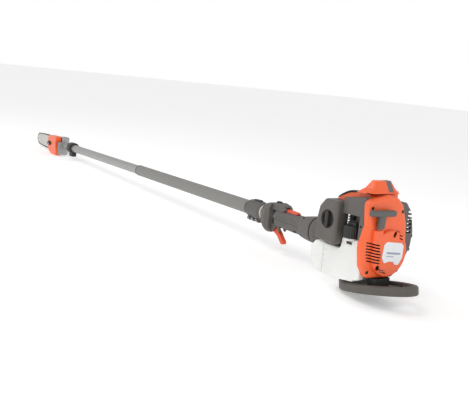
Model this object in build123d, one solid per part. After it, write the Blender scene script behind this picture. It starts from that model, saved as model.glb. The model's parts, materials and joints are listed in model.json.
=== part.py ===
"""Telescoping pole saw with a rear two-stroke powerhead.

Everything is first built in the shaft frame: the drive shaft's axis is X, with the saw head at -X and the
powerhead at +X, and Z up. The origin of that frame is on the shaft's axis at the starter housing's rear face.
PLACE then tilts the machine so that it stands on its impact guard and its saw head, and puts the origin
at the middle of the bottom. All sizes are in millimetres.
"""
from build123d import *
import math
import os

# ---------------------------------------------------------------- driving dimensions
REST_TILT = -1.763

# starter housing and engine, along the shaft
HOUSING_X0, HOUSING_BACK = -42.0, -9.0
WALL = 2.6
CASE_X0, CASE_X1 = -136.0, -48.0
CASE_R, CASE_BORE = 36.0, 29.0
CYL_X = -90.0  # cylinder axis, measured along the shaft
CYL_BORE = 17.0
PISTON_PIN_Z = 96.0
INTAKE_X, INTAKE_Z = -80.0, 91.0
CLUTCH_X0 = -254.0
CLUTCH_R = 38.0
SHAFT_R = 6.0

# rear handle
HANDLE_X0, HANDLE_X1 = -489.0, -257.0
GRIP_Y, GRIP_TOP, GRIP_BOTTOM = 18.0, 23.0, -29.0
TRIGGER_PIVOT = (-440.0, -32.0)
LOCKOUT_PIVOT = (-399.0, 19.0)

# telescoping tubes
INNER_R, INNER_BORE = 14.0, 12.5
OUTER_R, OUTER_BORE = 18.0, 16.5
INNER_X0, INNER_X1 = -2060.0, -285.0
OUTER_X0, OUTER_X1 = -2154.0, -551.0
SLEEVE_R, SLEEVE_X0, SLEEVE_X1 = 21.0, -1368.0, -574.0
CLAMP_X0, CLAMP_X1 = -573.0, -493.0
RUNNING = 0.06  # radial clearance of a running fit
TRAVEL = 1250.0

# drive shafts
LOWER_R, LOWER_BORE, LOWER_X0 = 8.0, 5.3, -2040.0
UPPER_R, UPPER_X0, UPPER_X1 = 4.8, -2312.0, -700.0

# saw head
HEAD_X = -2322.0  # axis of the bevel gear and sprocket
BAR_Y = -24.0  # middle plane of the guide bar
BAR_NOSE_X, BAR_TAIL_X = -2664.0, -2345.0
BAR_HALF, BAR_THICK, BAR_NOSE_R = 29.5, 4.0, 23.0
PINION_TEETH, GEAR_TEETH, SPROCKET_TEETH = 14, 18, 7

# impact guard under the engine
GUARD_CENTRE, GUARD_A, GUARD_B = (-27.0, 0.0, -89.0), 117.0, 58.0
GUARD_HEIGHT, GUARD_BAND, GUARD_SLOPE = 22.0, 17.0, 11.5

MIN_ALIGN = (Align.CENTER, Align.CENTER, Align.MIN)


# ---------------------------------------------------------------- helpers
def box(x0, x1, y0, y1, z0, z1):
    return Pos((x0 + x1) / 2, (y0 + y1) / 2, (z0 + z1) / 2) * Box(x1 - x0, y1 - y0, z1 - z0)


def rounded(x0, x1, y0, y1, z0, z1, r):
    solid = box(x0, x1, y0, y1, z0, z1)
    return fillet(solid.edges(), r)


def rod_x(r, x0, x1, y=0.0, z=0.0):
    return Pos(x0, y, z) * Rot(0, 90, 0) * Cylinder(r, x1 - x0, align=MIN_ALIGN)


def rod_y(r, y0, y1, x=0.0, z=0.0):
    return Pos(x, y0, z) * Rot(-90, 0, 0) * Cylinder(r, y1 - y0, align=MIN_ALIGN)


def rod_z(r, z0, z1, x=0.0, y=0.0):
    return Pos(x, y, z0) * Cylinder(r, z1 - z0, align=MIN_ALIGN)


def ring_x(r, bore, x0, x1, y=0.0, z=0.0):
    return rod_x(r, x0, x1, y, z) - rod_x(bore, x0 - 1, x1 + 1, y, z)


def cone_x(r0, r1, x0, x1, z=0.0):
    return Pos(x0, 0, z) * Rot(0, 90, 0) * Cone(r0, r1, x1 - x0, align=MIN_ALIGN)


def face_of(points, r=0.0):
    """A flat outline with all its corners rounded to r."""
    outline = make_face(Polyline(*points, close=True))
    return fillet(outline.vertices(), r) if r else outline


def prism_x(face, x0, x1):
    """An outline in (y, z), drawn out from x0 to x1."""
    return extrude(Plane.YZ.offset(x0) * face, amount=x1 - x0)


def prism_y(face, y0, y1):
    """An outline in (x, z), drawn out from y0 to y1."""
    plane = Plane(origin=(0, y1, 0), x_dir=(1, 0, 0), z_dir=(0, -1, 0))
    return extrude(plane * face, amount=y1 - y0)


def prism_z(face, z0, z1):
    """An outline in (x, y), drawn out from z0 to z1."""
    return extrude(Plane.XY.offset(z0) * face, amount=z1 - z0)


def end_edges(solid, axis, last):
    faces = solid.faces().sort_by(axis)
    return faces[-1 if last else 0].edges()


def screw_x(x, y, z, head_r=4.0, shank_r=2.0, length=12.0):
    """A socket screw along X, its head towards +X with its rim at x."""
    head = rod_x(head_r, x - 3.5, x, y, z) - rod_x(head_r * 0.5, x - 1.8, x + 1, y, z)
    return head + rod_x(shank_r, x - 3.5 - length, x - 3.5, y, z)


# ---------------------------------------------------------------- starter side
HOUSING_OUTLINE = [
    (-76, 124), (-69, 66), (-84, 18), (-76, -30), (-56, -59), (28, -62),
    (46, -48), (64, 8), (56, 68), (40, 112), (22, 130), (-10, 137),
]
DOME_R = 56.0
ROPE_EXIT = (0.0, -42.0, 61.0)
SCREW_SPOTS = [(-64, 108), (-58, -43), (34, -46), (36, 98)]
PULL_LEAN = 3.0  # degrees rearwards from straight up
PULLEY_R, PULLEY_GROOVE_R = 34.0, 31.0


def starter_housing():
    """Orange rear shell with a round dome over the starter pulley."""
    outline = face_of(HOUSING_OUTLINE, 15)
    shell = prism_x(outline, HOUSING_X0, HOUSING_BACK)
    shell = fillet(end_edges(shell, Axis.X, True), 9)
    dome = rod_x(DOME_R, HOUSING_BACK - 6, 0)
    horn = rounded(HOUSING_BACK - 4, -0.5, -56, -28, 20, 58, 3)
    shell += fillet(end_edges(dome, Axis.X, True), 4) + horn
    cavity = prism_x(offset(outline, amount=-WALL), HOUSING_X0 - 1, HOUSING_BACK - WALL)
    shell -= fillet(end_edges(cavity, Axis.X, True), 6)
    shell -= rod_x(DOME_R - WALL, HOUSING_BACK - 8, -WALL)
    shell += rod_x(5, -17, -2)
    for y, z in SCREW_SPOTS:
        shell += rod_x(6.5, -30, HOUSING_BACK - 4, y, z)
    shell -= box(-50, TANK_BACK + 1.5, -100, -48, -100, 150)
    for y, z in SCREW_SPOTS:
        shell -= rod_x(4.4, HOUSING_BACK - 4.5, 5, y, z)
        shell -= rod_x(2.2, -45, 5, y, z)
    return shell - housing_slots() - rope_hole()


def housing_slots():
    """Cooling louvres, the two oval holes and the small slots beside them."""
    slots = []
    for i in range(7):
        half = 22 - 1.2 * abs(i - 3)
        slot = box(-16, 6, -half, half, -1.6, 1.6)
        slots.append(Pos(0, -54 + i, 25 - 7.2 * i) * Rot(-11, 0, 0) * slot)
    slots.append(Pos(0, 10, 46) * Rot(-25, 0, 0) * rounded(-16, 6, -4.5, 4.5, -7.5, 7.5, 3.5))
    for i in range(3):
        slots.append(Pos(0, 28 + 2 * i, 50 - 8 * i) * Rot(-20, 0, 0) * box(-16, 6, -6.5, 6.5, -1.5, 1.5))
    slots.append(rod_x(6.5, -16, 6, -36, -32))
    for i in range(2):
        slots.append(Pos(0, -22 + 5 * i, -38 - 6 * i) * Rot(-14, 0, 0) * box(-16, 6, -14, 12 - 2 * i, -1.4, 1.4))
    return slots


def along_pull(solid):
    """Stands a solid that was built along Z on the rope's exit, along the pull direction."""
    return Pos(*ROPE_EXIT) * Rot(0, PULL_LEAN, 0) * solid


def rope_hole():
    """Straight way for the rope from the pulley's groove to its exit on the dome's shoulder."""
    return along_pull(rod_z(2.6, -60, 10)).moved(Location((-4.5, 0, 0)))


def starter_pulley():
    body = rod_x(PULLEY_R, -12.5, -4.5) - ring_x(PULLEY_R + 2, PULLEY_GROOVE_R - 2, -10.5, -6.5)
    for i in range(6):
        body -= Rot(i * 60, 0, 0) * rod_x(5, -20, 0, 0, 17)
    return body - rod_x(5 + RUNNING, -20, 0)


def starter_grip():
    """T-shaped pull grip. Its stem points along the pull direction, and its bar hangs a little askew."""
    bar = Pos(0, 1, 37) * Rot(-1.5, 0, 0) * rounded(-7, 7, -41, 41, -7.5, 7.5, 6)
    stem = rounded(-6.5, 6.5, -9, 9, 0, 36, 4.5)
    grip = bar + stem - Pos(-4.5, 0, 0) * rod_z(2.4, -5, 20)
    return along_pull(grip)


def starter_rope():
    """The short stretch of rope in the housing's shoulder, up into the grip."""
    return along_pull(Pos(-4.5, 0, 0) * rod_z(1.7, -20, 6))


def housing_decal():
    outline = [
        (-33, 20), (-25, 27), (24, 27), (33, 20), (35, -8), (26, -26),
        (14, -26), (7, -19), (-9, -19), (-22, -24), (-33, -12),
    ]
    return Pos(0, 8, 0) * Rot(-6, 0, 0) * prism_x(face_of(outline, 5), 0.05, 0.85)


# ---------------------------------------------------------------- crankcase and cylinder
def crankcase():
    case = rod_x(CASE_R, CASE_X0, CASE_X1)
    case += box(CASE_X0 + 6, CASE_X1 - 6, -26, 26, -48, -20)
    case += box(CYL_X - 26, CYL_X + 26, -30, 30, 0, 40)
    case += box(CASE_X1 - 8, CASE_X1, -40, 40, -46, 60)
    case -= rod_x(CASE_BORE, CASE_X0 + 9, CASE_X1 - 9)
    case -= rod_z(CYL_BORE + 3.1, 0, 50, CYL_X)
    case -= rod_x(SHAFT_R + RUNNING, CASE_X0 - 1, CASE_X1 + 1)
    for x in (CASE_X0 + 20, CASE_X1 - 20):
        case -= rod_z(2.5, -60, -36, x)
    return case


PLUG_Z = 117.0  # height of the spark plug, which points rearwards


def cylinder():
    barrel = rod_z(CYL_BORE + 3, 30, 44, CYL_X) + rod_z(CYL_BORE + 5, 40.2, 122, CYL_X)
    flange = box(CYL_X - 26, CYL_X + 26, -28, 28, 40.2, 45)
    body = barrel + fillet(flange.edges().filter_by(Axis.Z), 5)
    for i in range(10):
        half = 33 if i < 8 else 30
        fin = box(CYL_X - half, CYL_X + half, -half, half, 52 + 7 * i, 54 + 7 * i)
        body += fillet(fin.edges().filter_by(Axis.Z), 10)
    body += rod_z(13, 116, 127, CYL_X) + rod_x(9.6, CYL_X, -64, 0, PLUG_Z)
    body += box(CYL_X - 14, CYL_X + 14, 14, 38, 66, 84)
    body += box(CYL_X - 3, CYL_X + 23, -42.2, -14, INTAKE_Z - 8, INTAKE_Z + 8.5)
    body -= rod_z(CYL_BORE, 20, 117, CYL_X)
    body -= rod_z(9, 110, 124, CYL_X) + rod_x(5.1, CYL_X, -60, 0, PLUG_Z)
    body -= rod_x(9.4, -64, -50, 0, PLUG_Z)
    body -= rod_y(7, 10, 50, CYL_X, 75)
    body -= rod_y(6.5, -50, -10, INTAKE_X, INTAKE_Z)
    return body


def piston():
    crown = rod_z(CYL_BORE - 0.1, 84, 112, CYL_X) - rod_z(13.5, 80, 107, CYL_X)
    pin = rod_x(4, CYL_X - 14, CYL_X + 14, 0, PISTON_PIN_Z)
    return crown + pin


def connecting_rod():
    """Held at the top of its stroke; its big end is an open saddle clear of the crank pin's circle."""
    eye = rod_x(7.5, CYL_X - 3.5, CYL_X + 3.5, 0, PISTON_PIN_Z)
    blade = box(CYL_X - 2.5, CYL_X + 2.5, -5, 5, 18, 92)
    saddle = box(CYL_X - 4, CYL_X + 4, -11, 11, 12, 30) - rod_x(20, CYL_X - 10, CYL_X + 10)
    body = eye + blade + saddle - rod_x(20, CYL_X - 10, CYL_X + 10)
    return body - rod_x(4.05, CYL_X - 20, CYL_X + 20, 0, PISTON_PIN_Z)


def crankshaft():
    shaft = rod_x(SHAFT_R, -215, CYL_X - 8) + rod_x(SHAFT_R, CYL_X + 8, -19)
    web = rod_x(24, CYL_X - 12, CYL_X - 6) + rod_x(24, CYL_X + 6, CYL_X + 12)
    shaft += web - box(CYL_X - 20, CYL_X + 20, 12, 30, -2, 30) - box(CYL_X - 20, CYL_X + 20, -30, -12, -2, 30)
    pin = rod_x(5, CYL_X - 7, CYL_X + 7, 0, 13)
    return shaft + pin


def flywheel():
    wheel = rod_x(44, -40, -33) - rod_x(38, -36, -30)
    wheel += rod_x(13, -40, -22)
    for i in range(14):
        blade = box(-33.5, -22, -1.2, 1.2, 22, 42)
        wheel += Rot(i * 360 / 14, 0, 0) * (Pos(0, 0, 0) * blade)
    wheel += ring_x(44, 41, -34, -31)
    return wheel - rod_x(SHAFT_R + 0.02, -50, -10)


def ignition_coil():
    core = box(-47.8, -30, -14, 14, 45.5, 52) + box(-41, -24, -11, 11, 50, 70)
    return core


def spark_plug():
    thread = rod_x(5.0, -84, -64.2, 0, PLUG_Z) + rod_x(4.4, -64.2, -63.8, 0, PLUG_Z)
    return thread + rod_x(8.5, -63.8, -59, 0, PLUG_Z) + rod_x(4, -59, -49, 0, PLUG_Z)


def plug_boot():
    boot = rod_x(8, -57.5, -47.2, 0, PLUG_Z) + rod_z(5.2, PLUG_Z, PLUG_Z + 17, -52.4)
    return boot - rod_x(4.05, -60, -48.5, 0, PLUG_Z)


# ---------------------------------------------------------------- covers round the engine
COVER_Y0, COVER_Y1 = -41.5, 50.0


def cover_block(inset):
    """The cylinder cover's outer form, or with an inset its inner one."""
    front, back = -152 + inset, -43.5 - inset
    low = face_of([(front, 80), (front, 108 - inset), (-110, 130 - inset), (back, 141 - inset), (back, 80)])
    body = prism_y(low, COVER_Y0 + inset, COVER_Y1 - inset)
    base = Plane.XY.offset(136 - inset) * Pos(-49, -10) * RectangleRounded(56 - 2 * inset, 102 - 2 * inset, 12)
    waist = Plane.XY.offset(148 - inset) * Pos(-49, -6) * RectangleRounded(38 - 2 * inset, 72 - 2 * inset, 10)
    top = Plane.XY.offset(166 - inset) * Pos(-50, -4.5) * RectangleRounded(18 - inset, 51 - inset, 7)
    return body + loft([base.face(), waist.face()]) + loft([waist.face(), top.face()])


def cylinder_cover():
    """Orange cover: an open-bottomed shell with its peak over the spark plug."""
    shell = cover_block(0) - cover_block(WALL)
    shell -= box(-170, 20, -80, 80, 60, 102)
    shell -= box(HOUSING_X0 - 1, 20, -90, 90, 60, 138.5)
    shell -= box(-175, -40, -100, COVER_Y0, 60, 131)
    shell -= insert_strip(0.15)
    for i in range(5):
        shell -= box(-156, -140, -32 + 16 * i, -24 + 16 * i, 103.5, 106.5)
    return shell


def insert_strip(grow):
    """The volume of the grip insert, a band that runs over the peak and down its back."""
    band = box(-68 - grow, 10, 0 - grow, 16 + grow, 142 - grow, 180)
    return band & (cover_block(0) - cover_block(1.6 + grow))


def cover_insert():
    return insert_strip(0)


def muffler():
    can = rounded(CYL_X - 34, CYL_X + 30, 42, 88, 24, 100, 9)
    can -= rounded(CYL_X - 32.5, CYL_X + 28.5, 43.5, 86.5, 25.5, 98.5, 8)
    can += rod_y(9, 38.2, 44, CYL_X, 75)
    can -= rod_y(6.5, 30, 50, CYL_X, 75)
    return can + rod_y(7, 86, 92, CYL_X - 14, 50)


GUARD_OUTLINE = [(54, 118), (86, 112), (108, 86), (119, 38), (116, 0), (82, -64), (56, -60)]


def muffler_guard():
    """Dark shell on the right side: louvred, open towards the engine."""
    outline = face_of(GUARD_OUTLINE, 10)
    shell = prism_x(outline, -150, -44)
    shell = fillet(end_edges(shell, Axis.X, False), 6)
    shell -= prism_x(offset(outline, amount=-WALL), -147, -46.5)
    shell -= box(-160, 20, 40, 66, -100, 130)
    for i in range(6):
        z = 88 - 10 * i
        shell -= box(-140, -100, 90, 130, z - 3, z + 3)
        shell -= box(-94, -54, 90, 130, z - 3, z + 3)
        shell -= box(-60, -40, 96, 112, z - 3, z + 3)
    for i in range(4):
        z = -14 - 11 * i
        shell -= box(-135, -60, 70, 130, z - 2.5, z + 2.5)
    return shell + guard_hooks()


def guard_hooks():
    hooks = box(-58, -50, 112, 128, 22, 25) + box(-58, -50, 125, 128, 22, 30)
    return hooks + box(-58, -50, 108, 124, -12, -9) + box(-58, -50, 121, 124, -12, -5)


PRIMER_AT = (-84.0, 72.0)


def intake_housing():
    """Grey box between the air filter and the starter housing, with a bay for the fuel cap."""
    side = face_of([(-99.4, 80), (-99.4, 119), (TANK_BACK, 130), (TANK_BACK, 28), (-42, 28), (-42, 82)], 1.5)
    shell = prism_y(side, -70, -42.4)
    shell = fillet(end_edges(shell, Axis.Y, False), 1.4)
    hollow = face_of([(-96.8, 84), (-96.8, 116.5), (TANK_BACK - WALL, 126), (TANK_BACK - WALL, 84)], 2)
    shell -= prism_y(hollow, -67.4, -38)
    shell += box(-98.4, -55.5, -46, -42.4, 60, 83)
    shell -= rod_y(7.2, -50, -38, PRIMER_AT[0], PRIMER_AT[1])
    shell -= box(-90, -68, -64, -48, 110, 140)
    shell -= box(-44, -20, -49, -30, 20, 140)
    return shell - rod_y(3.0, -80, -60, -35, 60)


def primer_bulb():
    """Soft purge bulb that is pushed inwards."""
    x, z = PRIMER_AT
    bulb = rod_y(6.8, -55, -43, x, z)
    return fillet(end_edges(bulb, Axis.Y, False), 5)


FILTER_OUTLINE = [(-172, 4), (-100, 0), (-100, 106), (-148, 108), (-166, 88), (-174, 50)]
KNOB_AT = (-131.0, -86.0, 60.0)


def air_filter_cover():
    outline = face_of(FILTER_OUTLINE, 10)
    shell = prism_y(outline, -88, -50)
    shell = fillet(end_edges(shell, Axis.Y, False), 9)
    cavity = prism_y(offset(outline, amount=-WALL), -85, -40)
    shell -= fillet(end_edges(cavity, Axis.Y, False), 6)
    shell += rod_y(25, -88, -79, KNOB_AT[0], KNOB_AT[2]) & prism_y(outline, -88, -79)
    shell -= rod_y(22.5, -100, -81, KNOB_AT[0], KNOB_AT[2])
    shell -= rod_y(4 + RUNNING, -100, -60, KNOB_AT[0], KNOB_AT[2])
    return shell


def air_filter_knob():
    x, y, z = KNOB_AT
    knob = rod_y(21.8, -86, -81.4, x, z)
    bar = rounded(x - 5, x + 5, -93, -84, z - 20, z + 20, 3.5)
    dish = rod_y(18.5, -90, -83, x, z) - box(x - 5, x + 5, -93, -80, z - 22, z + 22)
    return knob - dish + bar + rod_y(4, -82, -66, x, z)


def air_filter_element():
    block = rounded(-158, -110, -76, -56, 12, 84, 3)
    for i in range(8):
        block -= box(-154, -114, -80, -73, 16 + 8 * i, 19 + 8 * i)
    return block - rod_y(5, -90, -40, KNOB_AT[0], KNOB_AT[2])


def carburettor():
    body = rounded(INTAKE_X - 15, INTAKE_X + 15, -62, -42.6, INTAKE_Z - 6.5, INTAKE_Z + 10, 2)
    return body - rod_y(5, -70, -30, INTAKE_X, INTAKE_Z)


# ---------------------------------------------------------------- fuel tank
CAP_AT = (-70.0, -62.0)


TANK_BACK = -28.0  # the tank's rear end on the left, beside the starter housing


def tank_form(inset):
    """The tank's outer form, or with an inset its inner one: a saddle with a shoulder on the left."""
    front, back = -206 + inset, -46 - inset
    top = 24 - inset
    low = [
        (front, -30 - inset), (front, -48), (front + 12, -70), (-162, -84 + inset),
        (-110, -84 + inset), (back, -76 + inset), (back, -30 - inset),
    ]
    body = prism_y(face_of(low, 8), -66 + inset, 58 - inset)
    side = [
        (front, -24 - inset), (front, -48), (front + 12, -70), (-162, -84 + inset), (-110, -84 + inset),
        (TANK_BACK - inset, -68 + inset), (TANK_BACK - inset, top), (-96 + inset, top),
        (-100 + inset, -6 - inset), (-190, -6 - inset),
    ]
    return body + prism_y(face_of(side, 8), -66 + inset, -50 - inset)


def fuel_tank():
    """Translucent blow-moulded tank, saddle shaped, with its neck on the left."""
    form = tank_form(0)
    form = fillet(end_edges(form, Axis.Y, False), 4)
    form -= rod_x(CLUTCH_R + 6, -260, CASE_X0 + 4)
    form -= box(CASE_X0 - 2, CASE_X1 + 8, -42, 42, -51, 0)
    inner = tank_form(2.4)
    inner -= rod_x(CLUTCH_R + 8.6, -260, CASE_X0 + 6)
    inner -= box(CASE_X0 - 4, CASE_X1 + 8, -45, 45, -53.5, 0)
    neck = rod_z(16, 20, 33, *CAP_AT) & box(-100, 0, -100, -49, 0, 50)
    shell = form - inner + neck
    return shell - rod_z(10.5, 10, 40, *CAP_AT)


def fuel_cap():
    x, y = CAP_AT
    cap = rod_z(20, 26.5, 56, x, y)
    cap = fillet(cap.edges().sort_by(Axis.Z)[-1:], 3)
    cap -= rod_z(16.4, 20, 34, x, y)
    for i in range(18):
        cap -= Pos(x, y, 0) * Rot(0, 0, i * 20) * rod_z(1.3, 25, 52, 20.4)
    grip = rounded(x - 14, x + 14, y - 3.5, y + 3.5, 50, 64, 3)
    return cap + grip


# ---------------------------------------------------------------- impact guard
def guard_frame(solid):
    return Pos(*GUARD_CENTRE) * Rot(0, -GUARD_SLOPE, 0) * solid


def impact_guard():
    """A closed loop that the engine stands on, rising towards the rear, with its front end turned up."""
    outer = Ellipse(GUARD_A, GUARD_B)
    inner = Ellipse(GUARD_A - GUARD_BAND, GUARD_B - GUARD_BAND)
    half = GUARD_HEIGHT / 2
    loop = extrude(Plane.XY.offset(-half) * (outer - inner), amount=GUARD_HEIGHT + 12)
    above = face_of([(-GUARD_A - 5, half + 12), (-60, half), (130, half), (130, 60), (-GUARD_A - 5, 60)])
    loop -= prism_y(above, -80, 80)
    return guard_frame(fillet(loop.edges(), 5))


def guard_bracket():
    """Black bridge from the loop's inside up to the underside of the engine."""
    bridge = extrude(Plane.XY.offset(-6) * (Ellipse(GUARD_A - GUARD_BAND + 1.5, GUARD_B - GUARD_BAND + 1.5) & Rectangle(96, 120)), amount=10)
    bridge = guard_frame(bridge) - impact_guard()
    post = box(-38, -6, -26, 20, -88, -61.8)
    return fillet(post.edges().filter_by(Axis.Z), 5) + bridge


def guard_screws():
    spots = [(x, y) for x in (-12, 12) for y in (-16, 10)]
    return [guard_frame(rod_z(3.5, -9.8, -6.1, x, y) - rod_z(1.8, -11, -8, x, y)) for x, y in spots]


# ---------------------------------------------------------------- clutch
def clutch_housing():
    """Bell over the clutch, ribbed, with its flange on the crankcase."""
    bell = rod_x(CLUTCH_R, CLUTCH_X0 + 3, CASE_X0) + rod_x(CLUTCH_R + 5, CASE_X0 - 7, CASE_X0)
    for i in range(20):
        rib = box(-238, CASE_X0 - 7, -1.5, 1.5, CLUTCH_R - 1, CLUTCH_R + 2)
        bell += Rot(i * 18, 0, 0) * rib
    bell -= rod_x(CLUTCH_R - 3.5, CLUTCH_X0 + 12, CASE_X0 + 1)
    bell -= box(-300, 0, -45, 45, -60, -CLUTCH_R - 0.5)
    bell -= box(-210, CASE_X0 + 1, -60, -42, -60, 60)
    return bell - rod_x(LOWER_R + RUNNING, -300, -200)


def clutch_shoes():
    disc = rod_x(26.5, -212, -200) - rod_x(SHAFT_R + 0.02, -220, -190)
    for angle in (0, 120, 240):
        gap = box(-220, -190, -1.5, 1.5, 12, 40)
        disc -= Rot(angle, 0, 0) * gap
    for angle in (60, 180, 300):
        disc -= Rot(angle, 0, 0) * rod_x(3, -220, -190, 0, 17)
    return disc


def clutch_drum():
    drum = rod_x(31, -220, -196) - rod_x(28, -216, -190)
    drum += rod_x(13, -228, -218)
    return drum - rod_x(LOWER_R + 0.02, -260, -217)


def coupling_ring():
    ring = ring_x(CLUTCH_R - 0.5, 15, CLUTCH_X0 - 1.9, CLUTCH_X0 + 2.9)
    rims = ring.edges().filter_by(GeomType.CIRCLE).sort_by(SortBy.RADIUS)[-2:]
    return fillet(rims, 2)


# ---------------------------------------------------------------- rear handle
def handle_section(x, top, bottom, half, corner):
    plane = Plane(origin=(x, 0, (top + bottom) / 2), x_dir=(0, 1, 0), z_dir=(1, 0, 0))
    return plane * RectangleRounded(2 * half, top - bottom, corner)


def handle_body():
    flare = [(-324, GRIP_TOP, GRIP_BOTTOM, GRIP_Y, 15), (-292, 30, -34, 27, 22), (HANDLE_X1, 37, -37, 37, 36.4)]
    body = loft([handle_section(*s) for s in flare])
    body += loft([handle_section(-430, GRIP_TOP, GRIP_BOTTOM + 2, GRIP_Y, 14), handle_section(-324, GRIP_TOP, GRIP_BOTTOM, GRIP_Y, 15)])
    bulb = [(HANDLE_X0, 25, -28, 22, 19), (-480, 32, -40, 28, 24), (-460, 36, -50, 32, 26)]
    body += loft([handle_section(*s) for s in bulb])
    body += loft([handle_section(-460, 36, -50, 32, 26), handle_section(-447, 38, -46, 25, 18)])
    hood = face_of([(-462, 20), (-458, 38), (-420, 42), (-396, 37), (-386, 27), (-400, 20)])
    body += fillet(prism_y(hood, -14, 14).edges().filter_by(Axis.Y), 2)
    box_side = face_of([(-458, -20), (-458, -45), (-446, -47), (-422, -24), (-412, -40), (-408, -38), (-410, -20)])
    body += prism_y(box_side, -13, 13)
    return body


def handle():
    body = handle_body()
    body -= rod_x(INNER_R + 0.05, -600, INNER_X1 + 0.5)
    body -= rod_x(LOWER_R + 1.5, -300, -200)
    body -= trigger_space()
    body -= box(-404, -336, -7.4, 7.4, 15.5, 24.5) + box(-404, -384, -7.4, 7.4, 15.5, 33)
    body -= box(-446.5, -417.5, -5.5, 5.5, 36, 50)
    for side in (-1, 1):
        groove = face_of([(-432, 2), (-430, 8), (-322, 4), (-316, -2), (-322, -8), (-426, -4)], 2)
        body -= prism_y(groove, side * GRIP_Y - 1.2, side * GRIP_Y + 1.2)
    for pin in handle_pins():
        body -= pin
    for x, z in HANDLE_SCREWS:
        body -= rod_y(1.6, -60, 60, x, z)
        body -= rod_y(3.3, -60, -15.4, x, z)
    return body


HANDLE_SCREWS = [(-476, -30), (-476, 22), (-336, -22), (-300, -24), (-300, 24)]


def trigger_space():
    """The slot in the handle's underside that the trigger swings in."""
    side = face_of([(-452, -20), (-454, -60), (-380, -70), (-412, -22)])
    return prism_y(side, -7.4, 7.4)


def handle_left():
    return handle() & box(-510, -250, -60, -0.1, -80, 80)


def handle_right():
    return handle() & box(-510, -250, 0.1, 60, -80, 80)


def handle_screws():
    screws = []
    for x, z in HANDLE_SCREWS:
        depth = 15.5
        head = rod_y(3.2, -depth - 2.5, -depth, x, z) - rod_y(1.4, -depth - 5, -depth - 1.2, x, z)
        screws.append(head + rod_y(1.5, -depth, 10, x, z))
    return screws


def throttle_trigger():
    px, pz = TRIGGER_PIVOT
    side = [
        (-450, -27), (-450, -38), (-444, -44), (-424, -54), (-403, -74), (-395, -73),
        (-393, -66), (-413, -46), (-428, -32), (-437, -25),
    ]
    lever = prism_y(face_of(side, 2.5), -6, 6)
    return lever - rod_y(2.5 + RUNNING, -20, 20, px, pz)


def handle_pins():
    """Pivot pins of the trigger and the lockout."""
    return [rod_y(2.5, -12, 12, *TRIGGER_PIVOT), rod_y(1.5, -12, 12, *LOCKOUT_PIVOT)]


def lockout():
    px, pz = LOCKOUT_PIVOT
    side = face_of([(-402, 17), (-402, 24), (-396, 30), (-348, 28), (-341, 23.5), (-348, 22), (-394, 17)], 1.2)
    lever = prism_y(side, -7, 7)
    return lever - rod_y(1.5 + RUNNING, -20, 20, px, pz)


def stop_switch():
    return rounded(-442, -427, -5, 5, 36.6, 45, 1.5)


# ---------------------------------------------------------------- telescoping tubes
def inner_tube():
    return ring_x(INNER_R, INNER_BORE, INNER_X0, INNER_X1)


def shaft_bushes():
    rings = [ring_x(INNER_BORE - 0.05, LOWER_R + RUNNING, x, x + 24) for x in range(-1980, -300, 400)]
    return rings


def guide_bush():
    """Slide bush on the inner tube's front end, running inside the outer tube."""
    bush = ring_x(OUTER_BORE - RUNNING, INNER_R + 0.05, INNER_X0, INNER_X0 + 45)
    return bush + ring_x(OUTER_BORE - RUNNING, INNER_BORE, INNER_X0 - 4, INNER_X0)


def outer_tube():
    return ring_x(OUTER_R, OUTER_BORE, OUTER_X0, OUTER_X1)


def grip_sleeve():
    sleeve = ring_x(SLEEVE_R, OUTER_R + 0.05, SLEEVE_X0, SLEEVE_X1)
    return fillet(sleeve.edges().filter_by(GeomType.CIRCLE).sort_by(SortBy.RADIUS)[-2:], 1.2)


def clamp_bush():
    collet = ring_x(OUTER_BORE - 0.1, INNER_R + RUNNING, CLAMP_X0 - 4, CLAMP_X1 - 4)
    collet += ring_x(22, OUTER_BORE - 0.1, CLAMP_X1 - 8, CLAMP_X1 - 4)
    return collet - box(CLAMP_X0 - 6, -530, -1, 1, -20, 0)


CLAMP_BOLTS = (-562.0, -541.0, -520.0)
LEVER_PIVOT = (-554.0, 25.5)


def clamp_body():
    """Split clamp that locks the two tubes, with ribs and a bolt lug below."""
    body = rod_x(24, CLAMP_X0, -544) + cone_x(24, 27, -544, -534) + rod_x(27, -534, -510)
    body += cone_x(27, 23, -510, CLAMP_X1 - 8)
    for x in CLAMP_BOLTS:
        lug = box(x - 6.5, x + 6.5, -13, 13, -35, 0)
        body += fillet(lug.edges().filter_by(Axis.X), 4)
    body += box(-567, -512, -9, 9, 20, 27)
    body -= rod_x(OUTER_R + 0.05, CLAMP_X0 - 1, OUTER_X1 + 1)
    body -= rod_x(OUTER_BORE, OUTER_X1, CLAMP_X1 + 1)
    body -= box(-580, -508, -1.2, 1.2, -45, -10)
    for x in CLAMP_BOLTS:
        body -= rod_y(2.7, -30, 30, x, -28)
        body -= rod_y(4.7, -30, -13.05, x, -28)
    body -= rod_y(1.52, -9.2, 9.2, *LEVER_PIVOT)
    body -= box(-560, -517, -6.3, 6.3, 20.8, 40)
    return body


def clamp_bolts():
    bolts = [rod_y(1.5, -9, 9, *LEVER_PIVOT)]
    for x in CLAMP_BOLTS:
        bolt = rod_y(2.6, -13.2, 16, x, -28) + rod_y(4.4, -17.5, -13.1, x, -28) - rod_y(2.2, -20, -15, x, -28)
        bolts.append(bolt)
    return bolts


def clamp_lever():
    """Over-centre lever that lies in the clamp's top recess."""
    side = [(-557, 22.2), (-557, 27.5), (-553, 30.5), (-525, 31), (-519, 27), (-525, 25), (-548, 24.5), (-549, 22.2)]
    lever = prism_y(face_of(side, 1), -6, 6)
    return lever - rod_y(1.5 + RUNNING, -20, 20, *LEVER_PIVOT)


# ---------------------------------------------------------------- drive shafts
def lower_drive_shaft():
    return ring_x(LOWER_R, LOWER_BORE, LOWER_X0, -217.5)


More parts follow.
